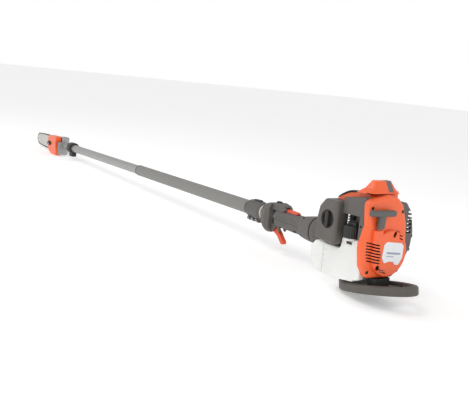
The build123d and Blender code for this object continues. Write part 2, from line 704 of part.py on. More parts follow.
def upper_drive_shaft():
    """Solid shaft with the bevel pinion cut on its front end."""
    pinion = Rot(0, 90, 0) * bevel_wheel(PINION_TEETH, GEAR_TEETH, 4.7)
    return rod_x(UPPER_R, UPPER_X0, UPPER_X1) + Pos(HEAD_X, 0, 0) * pinion


# ---------------------------------------------------------------- saw head
BEVEL_MODULE, BEVEL_FACE = 1.5, 6.0
STUDS_X = (-2378.0, -2402.0)


def bevel_wheel(teeth, mate, bore):
    """A bevel gear about Z, its pitch cone's point at the origin and its back face away from it."""
    radius = teeth * BEVEL_MODULE / 2
    depth = mate * BEVEL_MODULE / 2
    lean = math.atan2(radius, depth)
    small = 1 - BEVEL_FACE / math.hypot(radius, depth)
    low, high = -1.1 * BEVEL_MODULE, 0.7 * BEVEL_MODULE

    def at(height, scale):
        return (radius + height * math.cos(lean)) * scale, (depth - height * math.sin(lean)) * scale

    (r0, z0), (r1, z1) = at(low, 1), at(low, small)
    section = make_face(Polyline((0, z1), (r1, z1), (r0, z0), (r0, z0 + 3), (0, z0 + 3), close=True))
    body = revolve(Plane.XZ * section, Axis.Z)
    root, tip = 0.32 * math.pi * BEVEL_MODULE, 0.13 * math.pi * BEVEL_MODULE
    rims = []
    for scale in (1, small):
        (ra, za), (rb, zb) = at(low - 0.3, scale), at(high, scale)
        root_s, tip_s = root * scale, tip * scale
        rims.append(Wire.make_polygon([(ra, -root_s, za), (ra, root_s, za), (rb, tip_s, zb), (rb, -tip_s, zb)]))
    tooth = Solid.make_loft(rims, True)
    for i in range(teeth):
        body += Rot(0, 0, i * 360 / teeth) * tooth
    return body - rod_z(bore, -5, 60)


def front_collar():
    """Black clamp collar between the outer tube and the gearbox."""
    collar = rod_x(27, -2180, -2140) + cone_x(21, 27, -2188, -2180)
    for i in range(24):
        collar -= Rot(i * 15, 0, 0) * rod_x(2, -2176, -2144, 0, 28)
    lug = box(-2178, -2142, -12, 12, -42, -20)
    collar += fillet(lug.edges().filter_by(Axis.X), 4)
    collar -= rod_x(OUTER_R + 0.05, -2156, -2100)
    collar -= rod_x(15.55, -2200, -2100)
    collar -= box(-2200, -2100, -1.2, 1.2, -50, -15)
    for x in (-2170, -2150):
        collar -= rod_y(2.7, -30, 30, x, -35)
    return collar


def gear_housing():
    """Aluminium bevel gearbox with its neck, rear flange and the pad and studs for the bar."""
    case = rod_x(15.5, -2290, -2158)
    case += fillet(box(-2350, -2284, -14, 25, -20, 40).edges(), 6)
    case += fillet(box(-2285.4, -2277, -38, 12, -50, 16).edges().filter_by(Axis.X), 8)
    for x in (-2262, -2246):
        case += rod_x(17.5, x, x + 6)
    pad = [(-2348, -19), (-2348, 19), (-2412, 16), (-2422, 0), (-2412, -16)]
    case += prism_y(face_of(pad, 4), BAR_Y + BAR_THICK / 2 + 0.2, 4)
    case -= rod_x(UPPER_R + 1.2, -2322, -2100)
    case -= rod_y(17, -8, 21, HEAD_X, 0)
    case -= rod_x(13, -2322, -2296)
    case -= rod_y(5 + RUNNING, -30, 20.5, HEAD_X, 0)
    for x in STUDS_X:
        case += rod_y(4, -56, -10, x, 0)
    return case


def guide_bar():
    """Laminated bar: straight tail, gently bowed sides and a round nose."""
    nose = BAR_NOSE_R
    start, end = BAR_TAIL_X, BAR_NOSE_X
    top = ThreePointArc((start, BAR_HALF - 4), ((start + end) / 2, BAR_HALF + 1), (end + nose, nose))
    tip = ThreePointArc((end + nose, nose), (end, 0), (end + nose, -nose))
    low = ThreePointArc((end + nose, -nose), ((start + end) / 2, -BAR_HALF - 1), (start, -BAR_HALF + 4))
    tail = Line((start, -BAR_HALF + 4), (start, BAR_HALF - 4))
    blade = make_face(Wire([top, tip, low, tail]))
    bar = prism_y(blade, BAR_Y - BAR_THICK / 2, BAR_Y + BAR_THICK / 2)
    front, back = STUDS_X[1] - 8, STUDS_X[0] + 8
    bar -= box(front, back, -60, 20, -4.3, 4.3)
    bar -= rod_y(4.3, -60, 20, front, 0) + rod_y(4.3, -60, 20, back, 0)
    return bar


def chain_path_points():
    """Pitch points of the chain: along the bar's top, round its nose, back, and round the sprocket."""
    start, tip = BAR_TAIL_X, BAR_NOSE_X + BAR_NOSE_R
    turn = BAR_NOSE_R / math.cos(math.pi / 16) + 0.1
    bulge = BAR_HALF + 1.3 - (BAR_HALF - 4 + turn) / 2
    steps = 25
    top = []
    for i in range(steps + 1):
        t = i / steps
        half = (BAR_HALF - 4) * (1 - t) + turn * t + 4 * bulge * t * (1 - t)
        top.append((start + t * (tip - start), half))
    nose = [math.radians(90 + 180 * i / 8) for i in range(1, 8)]
    points = top + [(tip + turn * math.cos(a), turn * math.sin(a)) for a in nose]
    return points + [(x, -half) for x, half in reversed(top)]


def saw_chain():
    """Tie straps and cutters as one closed band round the bar and the sprocket."""
    edge = chain_path_points()
    turn = [math.radians(-90 + 180 * i / 8) for i in range(1, 8)]
    tail = [(HEAD_X + 16 * math.cos(a), 16 * math.sin(a)) for a in turn]
    loop = make_face(Polyline(*edge, *tail, close=True))
    band = prism_y(offset(loop, amount=5.5) - offset(loop, amount=0.25), BAR_Y - 3.0, BAR_Y + 3.0)
    for i in range(2, len(edge) - 2, 3):
        (x0, z0), (x1, z1) = edge[i - 1], edge[i + 1]
        heading = math.atan2(z1 - z0, x1 - x0)
        x, z = edge[i]
        cutter = box(-6, 5, -3, 3, 4.0, 8.5)
        band += Pos(x, BAR_Y, z) * Rot(0, -math.degrees(heading) + 180, 0) * cutter
    return band


COVER_OUTLINE = [
    (-2292, 36), (-2304, 43), (-2404, 42), (-2420, 22), (-2420, -20),
    (-2404, -44), (-2352, -54), (-2290, -54), (-2286, -34), (-2298, -8), (-2298, 8),
]


def head_cover():
    """Orange sprocket cover, waisted like a spool."""
    outline = face_of(COVER_OUTLINE, 6)
    body = prism_y(outline, -47, -15)
    body = fillet(end_edges(body, Axis.Y, False), 5)
    cavity = prism_y(offset(outline, amount=-WALL), -44, -10)
    body -= cavity
    body -= box(-2460, -2400, -34, 0, -60, 60)
    body -= box(-2460, -2260, -18, 0, -60, 60)
    body -= prism_y(face_of([(-2366, -13), (-2366, 13), (-2414, 13), (-2414, -13)], 12.5), -50, -46)
    for x in STUDS_X:
        body += rod_y(7.5, -46, -26.5, x, 0)
        body -= rod_y(4.1, -60, 0, x, 0)
    return body


def bar_nuts():
    nuts = []
    for x in STUDS_X:
        hexagon = extrude(Plane.XZ.offset(48) * Pos(x, 0) * RegularPolygon(7.5, 6), amount=6)
        nuts.append(rod_y(9, -49, -47.1, x, 0) + hexagon - rod_y(4.02, -60, -40, x, 0))
    return nuts


OIL_FILL = (-2318.0, -33.5)


def oil_tank():
    """Translucent chain oil tank hung under the gearbox."""
    form = rounded(-2350, -2291, -14, 30, -48, -20.5, 6)
    form -= rounded(-2348, -2293, -12, 28, -46, -22.5, 5)
    form += rod_y(7.5, 28, 35, *OIL_FILL)
    return form - rod_y(5.5, 20, 40, *OIL_FILL)


def oil_cap():
    x, z = OIL_FILL
    cap = rod_y(11, 31, 43, x, z) - rod_y(7.8, 25, 36, x, z)
    for i in range(12):
        cap -= Pos(x, 0, z) * Rot(0, i * 30, 0) * rod_y(1.2, 25, 50, 11.2, 0)
    return cap


def bevel_gear_shaft():
    """Driven bevel gear forged on the sprocket's shaft."""
    gear = Rot(-90, 0, 0) * bevel_wheel(GEAR_TEETH, PINION_TEETH, 4.9)
    return Pos(HEAD_X, 0, 0) * gear + rod_y(5, -40, 19.5, HEAD_X, 0)


def drive_sprocket():
    wheel = rod_y(10, BAR_Y - 2, BAR_Y + 2, HEAD_X, 0)
    for i in range(SPROCKET_TEETH):
        tooth = Pos(HEAD_X, BAR_Y, 0) * Rot(0, i * 360 / SPROCKET_TEETH, 0) * box(9, 14.5, -0.8, 0.8, -2, 2)
        wheel += tooth
    wheel += rod_y(9, BAR_Y + 2, BAR_Y + 9, HEAD_X, 0)
    return wheel - rod_y(5.02, -60, 20, HEAD_X, 0)


# ---------------------------------------------------------------- assembly
def fasteners():
    """Socket screws of the starter housing, the handle halves and the guard."""
    rear = [screw_x(HOUSING_BACK - 1, y, z, 4.0, 2.0, 11) for y, z in SCREW_SPOTS]
    return rear + handle_screws() + guard_screws()


MAKERS = {
    "starter_housing": starter_housing,
    "starter_pulley": starter_pulley,
    "starter_grip": starter_grip,
    "starter_rope": starter_rope,
    "housing_decal": housing_decal,
    "housing_screws": fasteners,
    "crankcase": crankcase,
    "cylinder": cylinder,
    "piston": piston,
    "connecting_rod": connecting_rod,
    "crankshaft": crankshaft,
    "flywheel": flywheel,
    "ignition_coil": ignition_coil,
    "spark_plug": spark_plug,
    "plug_boot": plug_boot,
    "cylinder_cover": cylinder_cover,
    "cover_insert": cover_insert,
    "muffler": muffler,
    "muffler_guard": muffler_guard,
    "intake_housing": intake_housing,
    "primer_bulb": primer_bulb,
    "air_filter_cover": air_filter_cover,
    "air_filter_knob": air_filter_knob,
    "air_filter_element": air_filter_element,
    "carburettor": carburettor,
    "fuel_tank": fuel_tank,
    "fuel_cap": fuel_cap,
    "impact_guard": impact_guard,
    "guard_bracket": guard_bracket,
    "clutch_housing": clutch_housing,
    "clutch_shoes": clutch_shoes,
    "clutch_drum": clutch_drum,
    "coupling_ring": coupling_ring,
    "handle_left": handle_left,
    "handle_right": handle_right,
    "handle_pins": handle_pins,
    "throttle_trigger": throttle_trigger,
    "throttle_lockout": lockout,
    "stop_switch": stop_switch,
    "inner_tube": inner_tube,
    "shaft_bushes": shaft_bushes,
    "guide_bush": guide_bush,
    "lower_drive_shaft": lower_drive_shaft,
    "outer_tube": outer_tube,
    "grip_sleeve": grip_sleeve,
    "clamp_bush": clamp_bush,
    "clamp_body": clamp_body,
    "clamp_bolts": clamp_bolts,
    "clamp_lever": clamp_lever,
    "upper_drive_shaft": upper_drive_shaft,
    "front_collar": front_collar,
    "gear_housing": gear_housing,
    "bevel_gear_shaft": bevel_gear_shaft,
    "drive_sprocket": drive_sprocket,
    "guide_bar": guide_bar,
    "saw_chain": saw_chain,
    "head_cover": head_cover,
    "bar_nuts": bar_nuts,
    "oil_tank": oil_tank,
    "oil_cap": oil_cap,
}


def solids_of(shape):
    """Every solid of a shape or of a list of shapes."""
    if isinstance(shape, (list, tuple)):
        return [solid for item in shape for solid in solids_of(item)]
    return list(shape.solids())


def build_parts():
    """All sub-parts in the shaft frame, by name, as lists of solids."""
    return {name: solids_of(maker()) for name, maker in MAKERS.items()}


def placement(parts):
    """Tilt to the rest position, with the origin in the middle of the bottom."""
    tilt = Rot(0, REST_TILT, 0)
    low, high = [math.inf] * 3, [-math.inf] * 3
    for solids in parts.values():
        for solid in solids:
            bounds = (tilt * solid).bounding_box()
            low = [min(a, b) for a, b in zip(low, bounds.min)]
            high = [max(a, b) for a, b in zip(high, bounds.max)]
    return Pos(-(low[0] + high[0]) / 2, -(low[1] + high[1]) / 2, -low[2]) * tilt


def main():
    os.makedirs("parts", exist_ok=True)
    parts = build_parts()
    place = placement(parts)
    for name, solids in parts.items():
        placed = [place * solid for solid in solids]
        export_step(placed[0] if len(placed) == 1 else Compound(children=placed), f"parts/{name}.step")


main()
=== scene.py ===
"""Looks of the telescoping pole saw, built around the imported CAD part."""
import json
import math

import bmesh
import bpy
from mathutils import Matrix, Vector

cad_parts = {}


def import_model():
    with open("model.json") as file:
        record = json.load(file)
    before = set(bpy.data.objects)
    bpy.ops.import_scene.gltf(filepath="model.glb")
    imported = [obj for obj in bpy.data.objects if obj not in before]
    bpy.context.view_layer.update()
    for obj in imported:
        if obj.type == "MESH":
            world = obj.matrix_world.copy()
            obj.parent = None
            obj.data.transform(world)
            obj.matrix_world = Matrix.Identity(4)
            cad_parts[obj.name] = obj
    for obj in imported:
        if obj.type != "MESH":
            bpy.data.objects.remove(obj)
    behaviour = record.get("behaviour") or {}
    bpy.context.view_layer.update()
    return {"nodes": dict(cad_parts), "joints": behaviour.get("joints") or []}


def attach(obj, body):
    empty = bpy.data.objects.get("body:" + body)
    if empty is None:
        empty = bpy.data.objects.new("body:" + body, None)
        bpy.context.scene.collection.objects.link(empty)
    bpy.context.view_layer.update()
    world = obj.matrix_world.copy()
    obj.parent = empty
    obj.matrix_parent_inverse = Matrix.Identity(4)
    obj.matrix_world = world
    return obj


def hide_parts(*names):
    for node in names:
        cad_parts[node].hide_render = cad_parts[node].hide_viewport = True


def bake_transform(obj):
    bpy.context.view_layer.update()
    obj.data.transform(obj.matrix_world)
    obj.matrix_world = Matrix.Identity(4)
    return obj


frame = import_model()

nodes = frame["nodes"]
joints = {j["name"]: j for j in frame["joints"]}


# ---------------------------------------------------------------- shaft frame
# Pieces are drawn in millimetres in the frame of the drive shaft: X along it towards the engine, Y towards
# the muffler, Z up, with the origin on the shaft's axis at the starter housing. PLACE puts them in the row
# frame.
CYLINDER_X = -90.0
crank = joints["crank_spin"]
tilt = math.atan2(-crank["axis"][2], crank["axis"][0])
turned = Matrix.Rotation(tilt, 4, "Y") @ Matrix.Scale(0.001, 4)
PLACE = Matrix.Translation(Vector(crank["pos_m"]) - turned @ Vector((CYLINDER_X, 0, 0))) @ turned


def point(x, y, z):
    """A place in the shaft frame, given in the row frame."""
    return PLACE @ Vector((x, y, z))


# ---------------------------------------------------------------- materials
def srgb(r, g, b):
    """A linear colour from 0-255 screen values."""
    linear = [((c / 255 + 0.055) / 1.055) ** 2.4 for c in (r, g, b)]
    return (*linear, 1.0)


def shade(colour, k):
    """The same colour, k times as bright."""
    return (*[min(1.0, c * k) for c in colour[:3]], 1.0)


class Nodes:
    """A material's node tree, with short calls to add and link nodes."""

    def __init__(self, name):
        self.material = bpy.data.materials.new(name)
        self.material.use_nodes = True
        self.tree = self.material.node_tree
        self.shader = self.tree.nodes["Principled BSDF"]
        self.place = self.add("ShaderNodeTexCoord").outputs["Object"]

    def add(self, kind, **values):
        node = self.tree.nodes.new(kind)
        for key, value in values.items():
            setattr(node, key, value)
        return node

    def link(self, a, b):
        self.tree.links.new(a, b)

    def noise(self, scale, detail=3.0, rough=0.5, stretch=None):
        node = self.add("ShaderNodeTexNoise")
        node.inputs["Scale"].default_value = scale
        node.inputs["Detail"].default_value = detail
        node.inputs["Roughness"].default_value = rough
        source = self.place
        if stretch:
            mapping = self.add("ShaderNodeMapping")
            mapping.inputs["Scale"].default_value = stretch
            self.link(source, mapping.inputs["Vector"])
            source = mapping.outputs["Vector"]
        self.link(source, node.inputs["Vector"])
        return node.outputs["Fac"]

    def span(self, source, low, high, start=0.3, end=0.7):
        node = self.add("ShaderNodeMapRange")
        node.inputs["From Min"].default_value = start
        node.inputs["From Max"].default_value = end
        node.inputs["To Min"].default_value = low
        node.inputs["To Max"].default_value = high
        self.link(source, node.inputs["Value"])
        return node.outputs["Result"]

    def ramp(self, source, stops):
        node = self.add("ShaderNodeValToRGB")
        elements = node.color_ramp.elements
        while len(elements) < len(stops):
            elements.new(0.5)
        for element, (at, colour) in zip(elements, stops):
            element.position = at
            element.color = colour
        self.link(source, node.inputs["Fac"])
        return node.outputs["Color"]

    def bump(self, source, strength, distance, below=None, radius=0.0006):
        node = self.add("ShaderNodeBump")
        node.inputs["Strength"].default_value = strength
        node.inputs["Distance"].default_value = distance
        self.link(source, node.inputs["Height"])
        if below is None:
            bevel = self.add("ShaderNodeBevel", samples=4)
            bevel.inputs["Radius"].default_value = radius
            below = bevel.outputs["Normal"]
        self.link(below, node.inputs["Normal"])
        return node.outputs["Normal"]

    def set(self, **values):
        for key, value in values.items():
            self.shader.inputs[key.replace("_", " ")].default_value = value

    def to(self, **sources):
        for key, source in sources.items():
            self.link(source, self.shader.inputs[key.replace("_", " ")])


def moulded(name, colour, rough=0.45, grain=1500.0, depth=0.00005, vary=0.08, coat=0.0, radius=0.0008):
    """Moulded plastic: a faint cloudiness, a fine grain, and scuffs that change its gloss."""
    n = Nodes(name)
    cloud = n.noise(22.0, 4.0)
    n.to(Base_Color=n.ramp(cloud, [(0.3, shade(colour, 1 - vary)), (0.7, shade(colour, 1 + vary))]))
    n.to(Roughness=n.span(n.noise(60.0, 5.0, 0.65), rough - 0.07, rough + 0.1))
    n.to(Normal=n.bump(n.noise(grain, 2.0), 0.5, depth, radius=radius))
    n.set(Coat_Weight=coat, Coat_Roughness=0.25)
    return n.material


def metal(name, colour, rough=0.3, stretch=(40.0, 1500.0, 1500.0), depth=0.00002, vary=0.12):
    """Bare metal with the direction of its machining in colour, gloss and bump."""
    n = Nodes(name)
    lines = n.noise(1.0, 4.0, 0.6, stretch)
    n.to(Base_Color=n.ramp(lines, [(0.3, shade(colour, 1 - vary)), (0.7, shade(colour, 1 + vary))]))
    n.to(Roughness=n.span(n.noise(90.0, 4.0, 0.6), rough - 0.08, rough + 0.12))
    n.to(Normal=n.bump(lines, 0.4, depth, radius=0.0004))
    n.set(Metallic=1.0)
    return n.material


def cast(name, colour, rough=0.5):
    """Die-cast metal: a sandy surface with darker pores."""
    n = Nodes(name)
    sand = n.noise(900.0, 4.0, 0.6)
    n.to(Base_Color=n.ramp(sand, [(0.25, shade(colour, 0.78)), (0.6, colour)]))
    n.to(Roughness=n.span(n.noise(120.0, 3.0), rough - 0.08, rough + 0.1))
    n.to(Normal=n.bump(sand, 0.6, 0.00012, radius=0.0008))
    n.set(Metallic=0.9)
    return n.material


def foam(name, colour, cell=700.0):
    """Matt foam or fabric with small cells."""
    n = Nodes(name)
    cells = n.add("ShaderNodeTexVoronoi")
    cells.inputs["Scale"].default_value = cell
    n.link(n.place, cells.inputs["Vector"])
    depth = cells.outputs["Distance"]
    n.to(Base_Color=n.ramp(depth, [(0.1, shade(colour, 0.75)), (0.7, shade(colour, 1.15))]))
    n.to(Normal=n.bump(depth, 0.5, 0.0003, radius=0.001))
    n.set(Roughness=0.85, Sheen_Weight=0.15)
    return n.material


def translucent(name, colour):
    """Blow-moulded tank plastic that lets some light through."""
    n = Nodes(name)
    cloud = n.noise(14.0, 4.0)
    n.to(Base_Color=n.ramp(cloud, [(0.3, shade(colour, 0.95)), (0.7, shade(colour, 1.03))]))
    n.to(Roughness=n.span(n.noise(70.0, 4.0), 0.34, 0.48))
    n.to(Normal=n.bump(n.noise(500.0, 2.0), 0.3, 0.00008, radius=0.0015))
    n.set(Subsurface_Weight=0.5, Subsurface_Scale=0.006, Subsurface_Radius=(1.0, 0.95, 0.85))
    return n.material


ORANGE = srgb(242, 100, 48)
M = {
    "orange": moulded("orange_plastic", ORANGE, 0.36, 1300.0, 0.00003, 0.04, 0.15),
    "dark": moulded("dark_plastic", srgb(92, 88, 84), 0.5, 1700.0, 0.00006, 0.06),
    "handle": moulded("handle_plastic", srgb(92, 89, 86), 0.52, 1700.0, 0.00006, 0.06),
    "black": moulded("black_plastic", srgb(38, 37, 36), 0.45, 1500.0, 0.00004, 0.1),
    "guard": moulded("guard_plastic", srgb(84, 80, 74), 0.55, 1400.0, 0.00008, 0.08),
    "trigger": moulded("trigger_plastic", srgb(222, 78, 40), 0.4, 1500.0, 0.00003, 0.05),
    "tank": translucent("tank_plastic", srgb(236, 236, 232)),
    "tube": metal("tube_coating", srgb(168, 168, 166), 0.42, (8.0, 900.0, 900.0)),
    "inner": metal("inner_tube_metal", srgb(205, 205, 205), 0.28, (8.0, 900.0, 900.0)),
    "sleeve": foam("sleeve_rubber", srgb(128, 127, 124), 1100.0),
    "cast": cast("cast_aluminium", srgb(178, 178, 180)),
    "steel": metal("steel", srgb(176, 176, 178), 0.3),
    "bar": metal("bar_steel", srgb(200, 196, 190), 0.34, (60.0, 1200.0, 1200.0)),
    "insert": foam("insert_texture", srgb(104, 102, 98), 420.0),
    # the cover plate's dark purple is painted shade, standing for the shade in the recess round the bar nuts
    "plate": moulded("recess_shade_paint", srgb(66, 40, 50), 0.4, 1200.0, 0.00004, 0.06),
    "chain": metal("chain_steel", srgb(112, 108, 104), 0.4),
    "decal": moulded("decal_film", srgb(226, 230, 232), 0.3, 800.0, 0.00001, 0.02, 0.3, 0.0003),
    "print": moulded("decal_print", srgb(150, 156, 178), 0.35, 800.0, 0.00001, 0.03, 0.0, 0.0002),
    "foam": foam("filter_foam", srgb(44, 62, 40), 500.0),
    "rope": foam("rope_yarn", srgb(225, 224, 218), 1500.0),
    "rubber": moulded("rubber", srgb(34, 33, 33), 0.7, 1200.0, 0.00008, 0.1),
    "nylon": moulded("nylon", srgb(222, 218, 208), 0.5, 1200.0, 0.00003, 0.05),
    "steel_dark": metal("blued_steel", srgb(96, 92, 90), 0.42),
}
LOOKS = {
    "orange": ["starter_housing", "cylinder_cover", "head_cover"],
    "dark": ["air_filter_cover", "intake_housing", "muffler_guard", "clutch_housing"],
    "handle": ["handle_left", "handle_right", "clamp_body", "starter_grip"],
    "black": ["fuel_cap", "housing_screws", "bar_nuts", "air_filter_knob", "guard_bracket", "front_collar",
              "oil_cap", "stop_switch", "ignition_coil", "clamp_lever", "starter_pulley"],
    "insert": ["cover_insert"],
    "guard": ["impact_guard"],
    "trigger": ["throttle_trigger", "throttle_lockout"],
    "tank": ["fuel_tank", "oil_tank"],
    "tube": ["outer_tube"],
    "inner": ["inner_tube"],
    "sleeve": ["grip_sleeve"],
    "cast": ["crankcase", "cylinder", "piston", "carburettor", "flywheel", "gear_housing"],
    "steel": ["connecting_rod", "crankshaft", "spark_plug", "clutch_shoes", "clutch_drum",
              "handle_pins", "lower_drive_shaft", "upper_drive_shaft", "clamp_bolts", "bevel_gear_shaft",
              "drive_sprocket"],
    "steel_dark": ["muffler"],
    "bar": ["guide_bar"],
    "decal": ["housing_decal"],
    "foam": ["air_filter_element"],
    "rubber": ["plug_boot", "coupling_ring", "primer_bulb"],
    "nylon": ["shaft_bushes", "guide_bush", "clamp_bush"],
}
for look, names in LOOKS.items():
    for node in names:
        mesh = nodes[node].data
        mesh.materials.clear()
        mesh.materials.append(M[look])


# ---------------------------------------------------------------- pieces
SHARP = math.radians(35)  # edges that turn more than this stay sharp


def make(name, bm, look, body, place=PLACE, replaces=None):
    """Turns a bmesh drawn in millimetres into a piece, on a body where one is named."""
    bmesh.ops.recalc_face_normals(bm, faces=bm.faces)
    bmesh.ops.transform(bm, matrix=place, verts=bm.verts)
    mesh = bpy.data.meshes.new(name)
    bm.to_mesh(mesh)
    bm.free()
    piece = bpy.data.objects.new(name, mesh)
    bpy.context.scene.collection.objects.link(piece)
    mesh.materials.append(M[look])
    for face in mesh.polygons:
        face.use_smooth = True
    mesh.set_sharp_from_angle(angle=SHARP)
    if replaces:
        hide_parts(replaces)
    if body:
        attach(piece, body)
    return piece


def sweep(bm, centres, radii, sides=10, flatten=1.0):
    """A tube along some points, with its own radius at each and a flat cap at both ends."""
    rings = []
    for i, (centre, radius) in enumerate(zip(centres, radii)):
        before, after = centres[max(i - 1, 0)], centres[min(i + 1, len(centres) - 1)]
        along = (Vector(after) - Vector(before)).normalized()
        across = Vector((0, 1, 0)) if abs(along.y) < 0.9 else Vector((1, 0, 0))
        side = along.cross(across).normalized()
        up = side.cross(along)
        ring = []
        for k in range(sides):
            a = 2 * math.pi * k / sides
            outward = math.cos(a) * side + flatten * math.sin(a) * up
            ring.append(bm.verts.new(Vector(centre) + radius * outward))
        rings.append(ring)
    for low, high in zip(rings, rings[1:]):
        for k in range(sides):
            bm.faces.new((low[k], low[(k + 1) % sides], high[(k + 1) % sides], high[k]))
    bm.faces.new(rings[0])
    bm.faces.new(rings[-1])


def eased(points, steps=8):
    """Points along a Catmull-Rom curve through the given ones."""
    line = [Vector(p) for p in points]
    ends = [2 * line[0] - line[1], *line, 2 * line[-1] - line[-2]]
    out = []
    for a, b, c, d in zip(ends, ends[1:], ends[2:], ends[3:]):
        for k in range(steps):
            t = k / steps
            square, cube = 2 * a - 5 * b + 4 * c - d, 3 * b - a - 3 * c + d
            out.append(0.5 * (2 * b + (c - a) * t + square * t * t + cube * t ** 3))
    return [*out, line[-1]]


CHAMFER_SHARE, CHAMFER_SHRINK = 0.25, 0.97  # share of a slab's thickness, and its outline's scale there


def slab(bm, outline, low, high, axis=1):
    """An outline drawn out between two values of one axis, with its rim a little chamfered."""
    centre = [sum(p[k] for p in outline) / len(outline) for k in (0, 1)]

    def ring(level, shrink):
        verts = []
        for p in outline:
            a, b = [c + (v - c) * shrink for v, c in zip(p, centre)]
            verts.append(bm.verts.new((level, a, b) if axis == 0 else (a, level, b)))
        return verts

    rim = CHAMFER_SHARE * (high - low)
    levels = [(low, CHAMFER_SHRINK), (low + rim, 1.0), (high - rim, 1.0), (high, CHAMFER_SHRINK)]
    rings = [ring(level, shrink) for level, shrink in levels]
    for a, b in zip(rings, rings[1:]):
        for k in range(len(outline)):
            m = (k + 1) % len(outline)
            bm.faces.new((a[k], a[m], b[m], b[k]))
    bm.faces.new(rings[0])
    bm.faces.new(rings[-1])


def capsule(ax, az, bx, bz, r, steps=6):
    """Outline of a strap with round ends between two points."""
    turn = math.atan2(bz - az, bx - ax)
    ends = []
    for x, z, start in ((bx, bz, turn - math.pi / 2), (ax, az, turn + math.pi / 2)):
        for k in range(steps + 1):
            a = start + math.pi * k / steps
            ends.append((x + r * math.cos(a), z + r * math.sin(a)))
    return ends


# The guide bar lies in the plane y = BAR_Y. The chain turns round its nose at BAR_TIP_X and round the
# sprocket at HEAD_X.
BAR_Y = -24.0
HEAD_X, BAR_TAIL_X, BAR_TIP_X = -2322.0, -2345.0, -2641.0
BAR_HALF, NOSE_R, SPROCKET_R = 29.5, 23.5, 16.0
BAR_BOW = 1.3  # how far the chain's bowed runs stand out beyond the bar's greatest half width
TAIL_DROP = 4.0  # how much narrower the bar's tail is than its greatest half width
RIVETS_OUT, SPROCKET_OUT = 3.0, 2.6  # rivets' distance outside the bar's edge and outside the sprocket
RUN_STEPS, NOSE_STEPS, SPROCKET_STEPS = 59, 24, 16
LINK = 9.3  # distance between rivets
STRAP_R, RIVET_R, RIVET_HALF = 2.5, 1.3, 2.8
DRIVE_HALF = 0.7  # half the thickness of a drive link
STRAP_THICK, STRAP_SIDES = 1.4, (-2.3, 0.9)  # tie straps' thickness and where each begins
# Outlines (along the chain, outwards from it) and thicknesses of a cutter's tooth and its depth gauge.
TOOTH = [(-1.5, 0.5), (-1.0, 4.6), (5.2, 5.2), (6.0, 2.4), (6.0, 0.5)]
GAUGE = [(7.4, 0.5), (7.8, 4.2), (9.2, 4.4), (10.0, 0.5)]
TOOTH_THICK, GAUGE_THICK = 3.1, 1.4
LEFT_CUTTER, RIGHT_CUTTER = -2.7, -0.4  # where left and right cutters begin across the chain


def chain_path():
    """The loop that the chain's rivets follow: bar, nose, bar and sprocket, drawn in (x, z)."""
    span = BAR_TIP_X - BAR_TAIL_X
    tail = BAR_HALF - TAIL_DROP
    bulge = BAR_HALF + BAR_BOW - (tail + NOSE_R) / 2
    top = []
    for i in range(RUN_STEPS + 1):
        t = i / RUN_STEPS
        half = tail * (1 - t) + NOSE_R * t + 4 * bulge * t * (1 - t)
        top.append((BAR_TAIL_X + t * span, half + RIVETS_OUT))
    nose = [math.radians(90 + 180 * i / NOSE_STEPS) for i in range(1, NOSE_STEPS)]
    turn = NOSE_R + RIVETS_OUT
    front = [(BAR_TIP_X + turn * math.cos(a), turn * math.sin(a)) for a in nose]
    heel = [math.radians(90 - 180 * i / SPROCKET_STEPS) for i in range(1, SPROCKET_STEPS)]
    turn = SPROCKET_R + SPROCKET_OUT
    back = [(HEAD_X + turn * math.cos(-a), turn * math.sin(-a)) for a in heel]
    return top + front + [(x, -z) for x, z in reversed(top)] + back


def walk(path, step):
    """An even number of evenly spaced points round a closed path."""
    loop = [Vector(p) for p in [*path, path[0]]]
    total = sum((b - a).length for a, b in zip(loop, loop[1:]))
    count = 2 * round(total / step / 2)
    gap, points, run, wanted = total / count, [], 0.0, 0.0
    for a, b in zip(loop, loop[1:]):
        length = (b - a).length
        while wanted <= run + length and len(points) < count:
            points.append(a.lerp(b, (wanted - run) / length))
            wanted += gap
        run += length
    return points


def cutter(bm, a, b, start):
    """A cutter's tooth and depth gauge on the link between two rivets; start is where they begin in y."""
    along = (b - a).normalized()
    out = Vector((along.y, -along.x))
    if out.dot(a - Vector(((BAR_TAIL_X + BAR_TIP_X) / 2, 0))) < 0:
        out = -out
    for shape, thick in ((TOOTH, TOOTH_THICK), (GAUGE, GAUGE_THICK)):
        outline = [tuple(a + along * u + out * v) for u, v in shape]
        slab(bm, outline, BAR_Y + start, BAR_Y + start + thick)


def chain():
    """Drive links between pairs of tie straps, a rivet at each pair, and a cutter on every other pair."""
    bm = bmesh.new()
    pins = walk(chain_path(), LINK)
    for i, a in enumerate(pins):
        b = pins[(i + 1) % len(pins)]
        strap = capsule(a.x, a.y, b.x, b.y, STRAP_R)
        if i % 2:
            slab(bm, strap, BAR_Y - DRIVE_HALF, BAR_Y + DRIVE_HALF)
            continue
        for side in STRAP_SIDES:
            slab(bm, strap, BAR_Y + side, BAR_Y + side + STRAP_THICK)
        rivet = capsule(a.x, a.y, a.x + 0.01, a.y, RIVET_R, 4)
        slab(bm, rivet, BAR_Y - RIVET_HALF, BAR_Y + RIVET_HALF)
        if i % 4 == 0:
            cutter(bm, a, b, LEFT_CUTTER if i % 8 else RIGHT_CUTTER)
    make("chain_links", bm, "chain", "mast", replaces="saw_chain")


ROPE_EXIT, ROPE_LEAN = (0, -42, 61), math.radians(3)
ROPE_X = -4.5  # the rope's line beside the pull's axis
ROPE_FOOT, ROPE_LONG = -19.5, 25  # its low end and its length
YARNS, YARN_R, YARN_OFFSET, LAY = 3, 0.85, 0.75, 6.5
YARN_STEPS = 60


